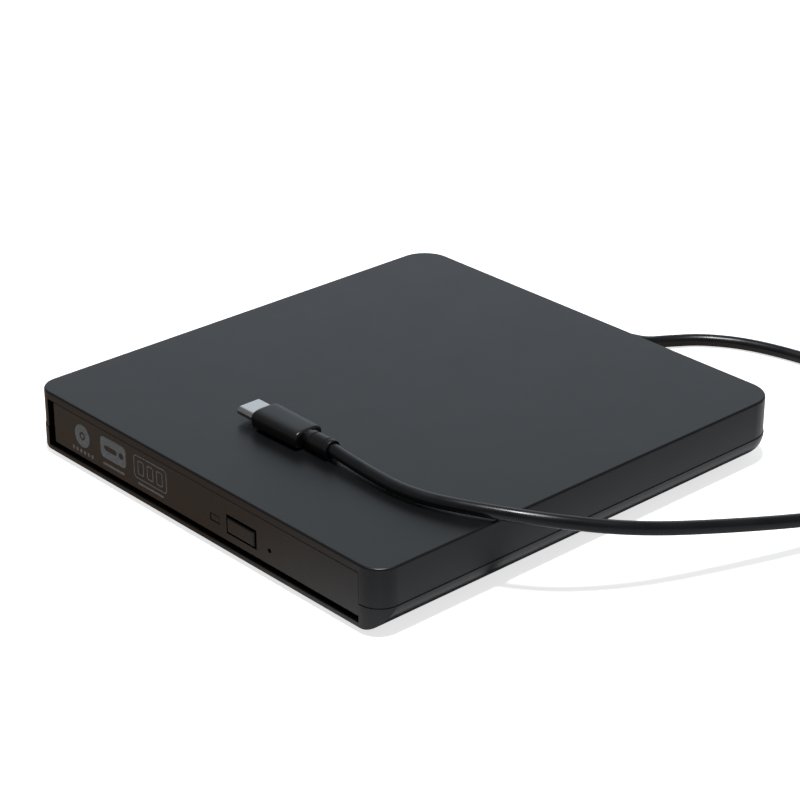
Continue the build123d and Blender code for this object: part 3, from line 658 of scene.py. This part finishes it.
# ---------------------------------------------------------------- generic icons printed on the bezel
def print_icon(name, outlines):
    """A thin print on the bezel's face from closed outlines in millimetres; one inside another is a hole."""
    half_thick = 0.012 * mm
    proud = 0.004 * mm
    face_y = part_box("front_bezel")[0].y
    curve = bpy.data.curves.new(name, "CURVE")
    curve.dimensions = "2D"
    curve.fill_mode = "BOTH"
    curve.extrude = half_thick
    for outline in outlines:
        spline = curve.splines.new("POLY")
        spline.points.add(len(outline) - 1)
        for point, (x, z) in zip(spline.points, outline):
            point.co = (x * mm, z * mm, 0, 1)
        spline.use_cyclic_u = True
    holder = bpy.data.objects.new(name + "_outline", curve)
    mesh = bpy.data.meshes.new_from_object(holder)
    bpy.data.objects.remove(holder)
    mesh.transform(Matrix.Translation((0, face_y - proud, 0)) @ Matrix.Rotation(pi / 2, 4, "X"))
    keep(name, mesh, "tray", "bezel_plastic", ink, smooth=False)


def outline_frame(x, z, width, height, corner, line):
    """The outer and the inner outline of a rounded frame drawn with a line of this width."""
    return [outline_round(x, z, width - 2 * sink, height - 2 * sink, corner - sink) for sink in (0, line)]


def make_disc_icon():
    """A disc over a short scale."""
    disc = [outline_circle(-50.2, 10.7, radius) for radius in (3.4, 1.25, 0.65)]
    scale = [outline_round(-54.6 + 1.75 * i, 5.9, 0.9, 1.1, 0.2) for i in range(6)]
    print_icon("icon_disc", disc + scale)


def make_badge_icon():
    """A filled badge with a bar and a dot cut out of it, over a thin line."""
    x, z = -36.0, 11.2
    badge = outline_round(x, z, 11.4, 6.4, 1.5)
    bar = outline_round(-37.2, z, 5.6, 1.6, 0.75)
    dot = outline_circle(-32.4, z, 1.0)
    underline = outline_round(x, 6.2, 9.6, 0.7, 0.3)
    print_icon("icon_badge", [badge, bar, dot, underline])


def make_frame_icon():
    """A fine frame with three bars in it, over another thin line."""
    x, z = -19.5, 10.9
    line = 0.3
    outlines = outline_frame(x, z, 14.4, 7.0, 1.3, line)
    for i in range(3):
        outlines += outline_frame(-23.6 + 4.1 * i, z, 2.7, 4.2, 0.6, line)
    outlines.append(outline_round(x, 6.1, 11.4, 0.55, 0.25))
    print_icon("icon_frame", outlines)


make_disc_icon()
make_badge_icon()
make_frame_icon()


# ---------------------------------------------------------------- pieces seen when the tray is open
def make_lead_screw():
    """The screw that drives the pickup: a coarse single thread, between plain ends."""
    low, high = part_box("lead_screw")
    up = Vector((0, 0, 1))
    side = pickup_travel.cross(up)
    radius = (high.z - low.z) / 2
    trim = radius / 2**0.5
    start = Vector((high.x - trim, high.y - trim, (low.z + high.z) / 2))
    length = (Vector((low.x + trim, low.y + trim, start.z)) - start).length
    pitch = 3.0 * mm
    plain = 2.0 * mm
    plain_share = 0.85
    thread_depth = 0.28
    flank = 2.2
    crest = 0.7
    steps = 240
    segments = 20
    rings = []
    for k in range(steps + 1):
        along = length * k / steps
        threaded = plain < along < length - plain
        ring = []
        for i in range(segments):
            turn = i / segments
            phase = along / pitch - turn
            wave = abs((phase - floor(phase)) * 2 - 1)
            groove = thread_depth * min(1.0, max(0.0, wave * flank - crest))
            size = radius * (1 - groove) if threaded else radius * plain_share
            angle = 2 * pi * turn
            ring.append(start + pickup_travel * along + (up * cos(angle) + side * sin(angle)) * size)
        rings.append(ring)
    screw = keep("screw_thread", skin("screw_thread", rings), "screw", "bright_steel")
    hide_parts("lead_screw")


def strip(name, line, left, right, thick):
    """A flat strip of this thickness along a line of points, from x = left to x = right."""
    half = thick / 2
    rings = []
    for i, place in enumerate(line):
        ahead = line[min(i + 1, len(line) - 1)] - line[max(i - 1, 0)]
        normal = Vector((1, 0, 0)).cross(ahead).normalized() * half
        ring = []
        for x, sign in ((left, -1), (right, -1), (right, 1), (left, 1)):
            ring.append(Vector((x, place.y, place.z)) + normal * sign)
        rings.append(ring)
    return skin(name, rings)


def make_ribbon():
    """The flat ribbon: its lower run and fold stay with the case, its upper run is a separate piece, attached
    to no body.
    """
    low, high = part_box("tray_ribbon")
    thick = 0.15 * mm
    fold_y = -15.5 * mm
    back_end = 27.5 * mm
    lower_z = low.z + thick / 2
    upper_z = high.z - thick / 2
    middle_z = (lower_z + upper_z) / 2
    bend = (upper_z - lower_z) / 2
    lower_steps = 30
    bend_steps = 16
    upper_steps = 80
    path = []
    for i in range(lower_steps + 1):
        path.append(Vector((0, back_end + (fold_y - back_end) * i / lower_steps, lower_z)))
    for i in range(1, bend_steps + 1):
        angle = pi * i / bend_steps
        path.append(Vector((0, fold_y - bend * sin(angle), middle_z - bend * cos(angle))))
    upper = []
    for i in range(upper_steps + 1):
        upper.append(Vector((0, fold_y + (high.y - fold_y) * i / upper_steps, upper_z)))
    fixed = keep("ribbon_fixed", strip("ribbon_fixed", path, low.x, high.x, thick), "case", "ribbon_film")
    sharpen(fixed)
    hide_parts("tray_ribbon")
    moving = keep("ribbon_moving", strip("ribbon_moving", upper, low.x, high.x, thick), None, "ribbon_film")
    sharpen(moving)
    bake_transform(moving)


def make_dust_foil():
    """The black foil stuck under the traverse unit, so that its gaps are closed below."""
    across = Vector((1, -1, 0)).normalized()
    hub_low, hub_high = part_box("spindle_hub")
    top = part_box("traverse_frame")[0].z - 0.12 * mm
    thick = 0.05 * mm
    width = 30 * mm
    inset = 0.8 * mm
    corner = 2.0 * mm
    alongs = [vertex.co.dot(pickup_travel) for vertex in nodes["traverse_frame"].data.vertices]
    start = min(alongs) + inset
    end = max(alongs) - inset
    middle = ((hub_low + hub_high) / 2).dot(across)
    rings = []
    for z in (top - thick, top):
        ring = []
        for along, aside in outline_round((start + end) / 2, middle, end - start, width, corner):
            ring.append(pickup_travel * along + across * aside + Vector((0, 0, z)))
        rings.append(ring)
    keep("dust_foil", skin("dust_foil", rings), "tray", "tray_plastic", smooth=False)


make_lead_screw()
make_ribbon()
make_dust_foil()


# ---------------------------------------------------------------- floor
def make_floor():
    """A wide flat sheet at the height of the feet."""
    reach = 6.0
    mesh = bpy.data.meshes.new("floor")
    built = bmesh.new()
    corners = [built.verts.new((x * reach, y * reach, 0)) for x, y in ((-1, -1), (1, -1), (1, 1), (-1, 1))]
    built.faces.new(corners)
    built.to_mesh(mesh)
    built.free()
    mesh.materials.append(floor_paper("floor_paper"))
    floor_sheet = bpy.data.objects.new("floor", mesh)
    bpy.context.scene.collection.objects.link(floor_sheet)


make_floor()
